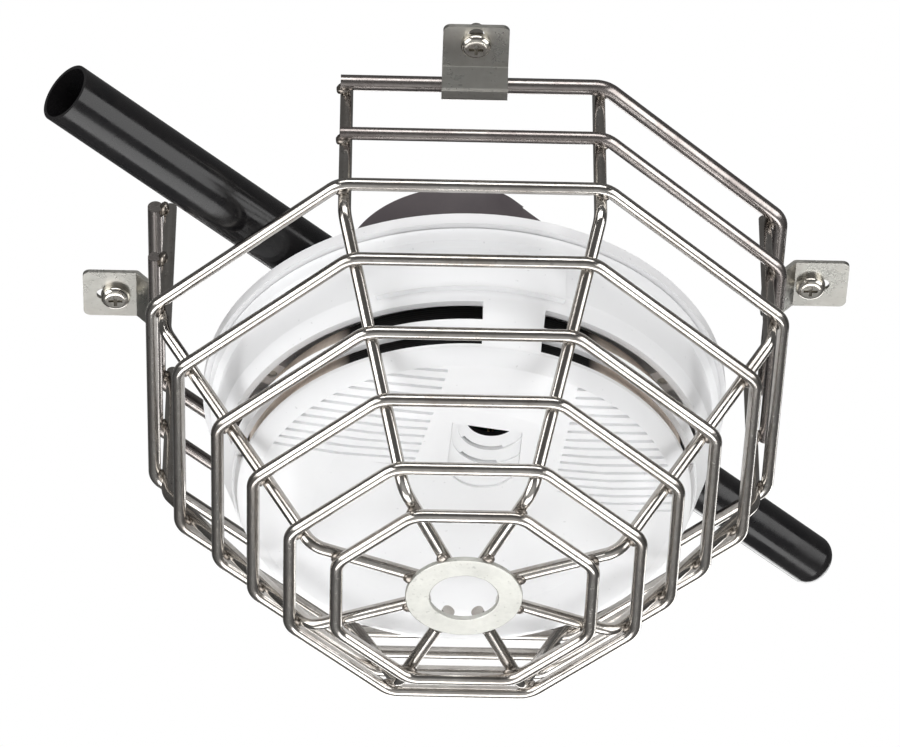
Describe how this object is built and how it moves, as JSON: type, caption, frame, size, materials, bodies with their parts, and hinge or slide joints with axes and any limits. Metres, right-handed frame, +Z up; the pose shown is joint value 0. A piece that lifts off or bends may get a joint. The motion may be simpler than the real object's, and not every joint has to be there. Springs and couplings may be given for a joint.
{
  "type": "ceiling heat detector with wire guard",
  "caption": "Round white ceiling heat detector on a dark electrical box with conduit stubs, inside an eight-sided stainless wire guard that unscrews and lifts away.",
  "frame": {"origin": "centre of the electrical box's back, in the ceiling plane", "axes": "+Z points up into the ceiling and the detector hangs to -Z; -Y is the side seen at the top of the view, and the conduit runs one degree off the line X = Y"},
  "size_m": [0.2401, 0.2331, 0.1255],
  "materials": {
    "box_paint": "satin dark grey paint",
    "conduit_paint": "gloss black paint",
    "zinc_screw": "zinc-plated steel",
    "green_screw": "green plated steel",
    "white_base": "moulded white plastic",
    "white_head": "smooth white plastic",
    "contact_brass": "stamped brass",
    "board_green": "glass-fibre board",
    "dark_plastic": "black moulding",
    "sensor_bead": "glass-coated bead",
    "dull_steel": "dull stainless wire",
    "bright_steel": "polished stainless wire",
    "washer_steel": "matt stainless",
    "clip_steel": "brushed stainless sheet",
    "bright_screw": "bright stainless"
  },
  "bodies": {
    "ceiling_box": {"electrical_box": "box_paint", "box_screws": "zinc_screw", "ground_screw": "green_screw", "conduit_near": "conduit_paint", "conduit_far": "conduit_paint", "connector_near": "conduit_paint", "connector_far": "conduit_paint", "locknuts": "zinc_screw", "mounting_base": "white_base", "base_screws": "zinc_screw", "base_contacts": "contact_brass", "terminal_screws": "zinc_screw"},
    "head": {"head_shell": "white_head", "chassis": "white_base", "head_contacts": "contact_brass", "circuit_board": "board_green", "sensing_chamber": "dark_plastic", "insect_screen": "dark_plastic", "front_cover": "white_head", "sensor_grille": "white_head", "thermistor": "sensor_bead", "head_screws": "zinc_screw"},
    "guard": {"base_ring": "dull_steel", "upper_ring": "dull_steel", "belt_ring": "bright_steel", "shoulder_ring": "bright_steel", "middle_ring": "bright_steel", "lower_ring": "bright_steel", "front_ring": "bright_steel", "nose_ring": "bright_steel", "ribs": "bright_steel", "hub_washer": "washer_steel", "mounting_clips": "clip_steel", "guard_screws": "bright_screw"}
  },
  "joints": [
    {"name": "head_twist", "type": "hinge", "parent": "ceiling_box", "child": "head", "pos_m": [0, 0, -0.05], "axis": [0, 0, -1], "range_deg": [0, 26]},
    {"name": "guard_lift", "type": "slide", "parent": "ceiling_box", "child": "guard", "axis": [0, 0, -1], "range_m": [0, 0.15]}
  ]
}
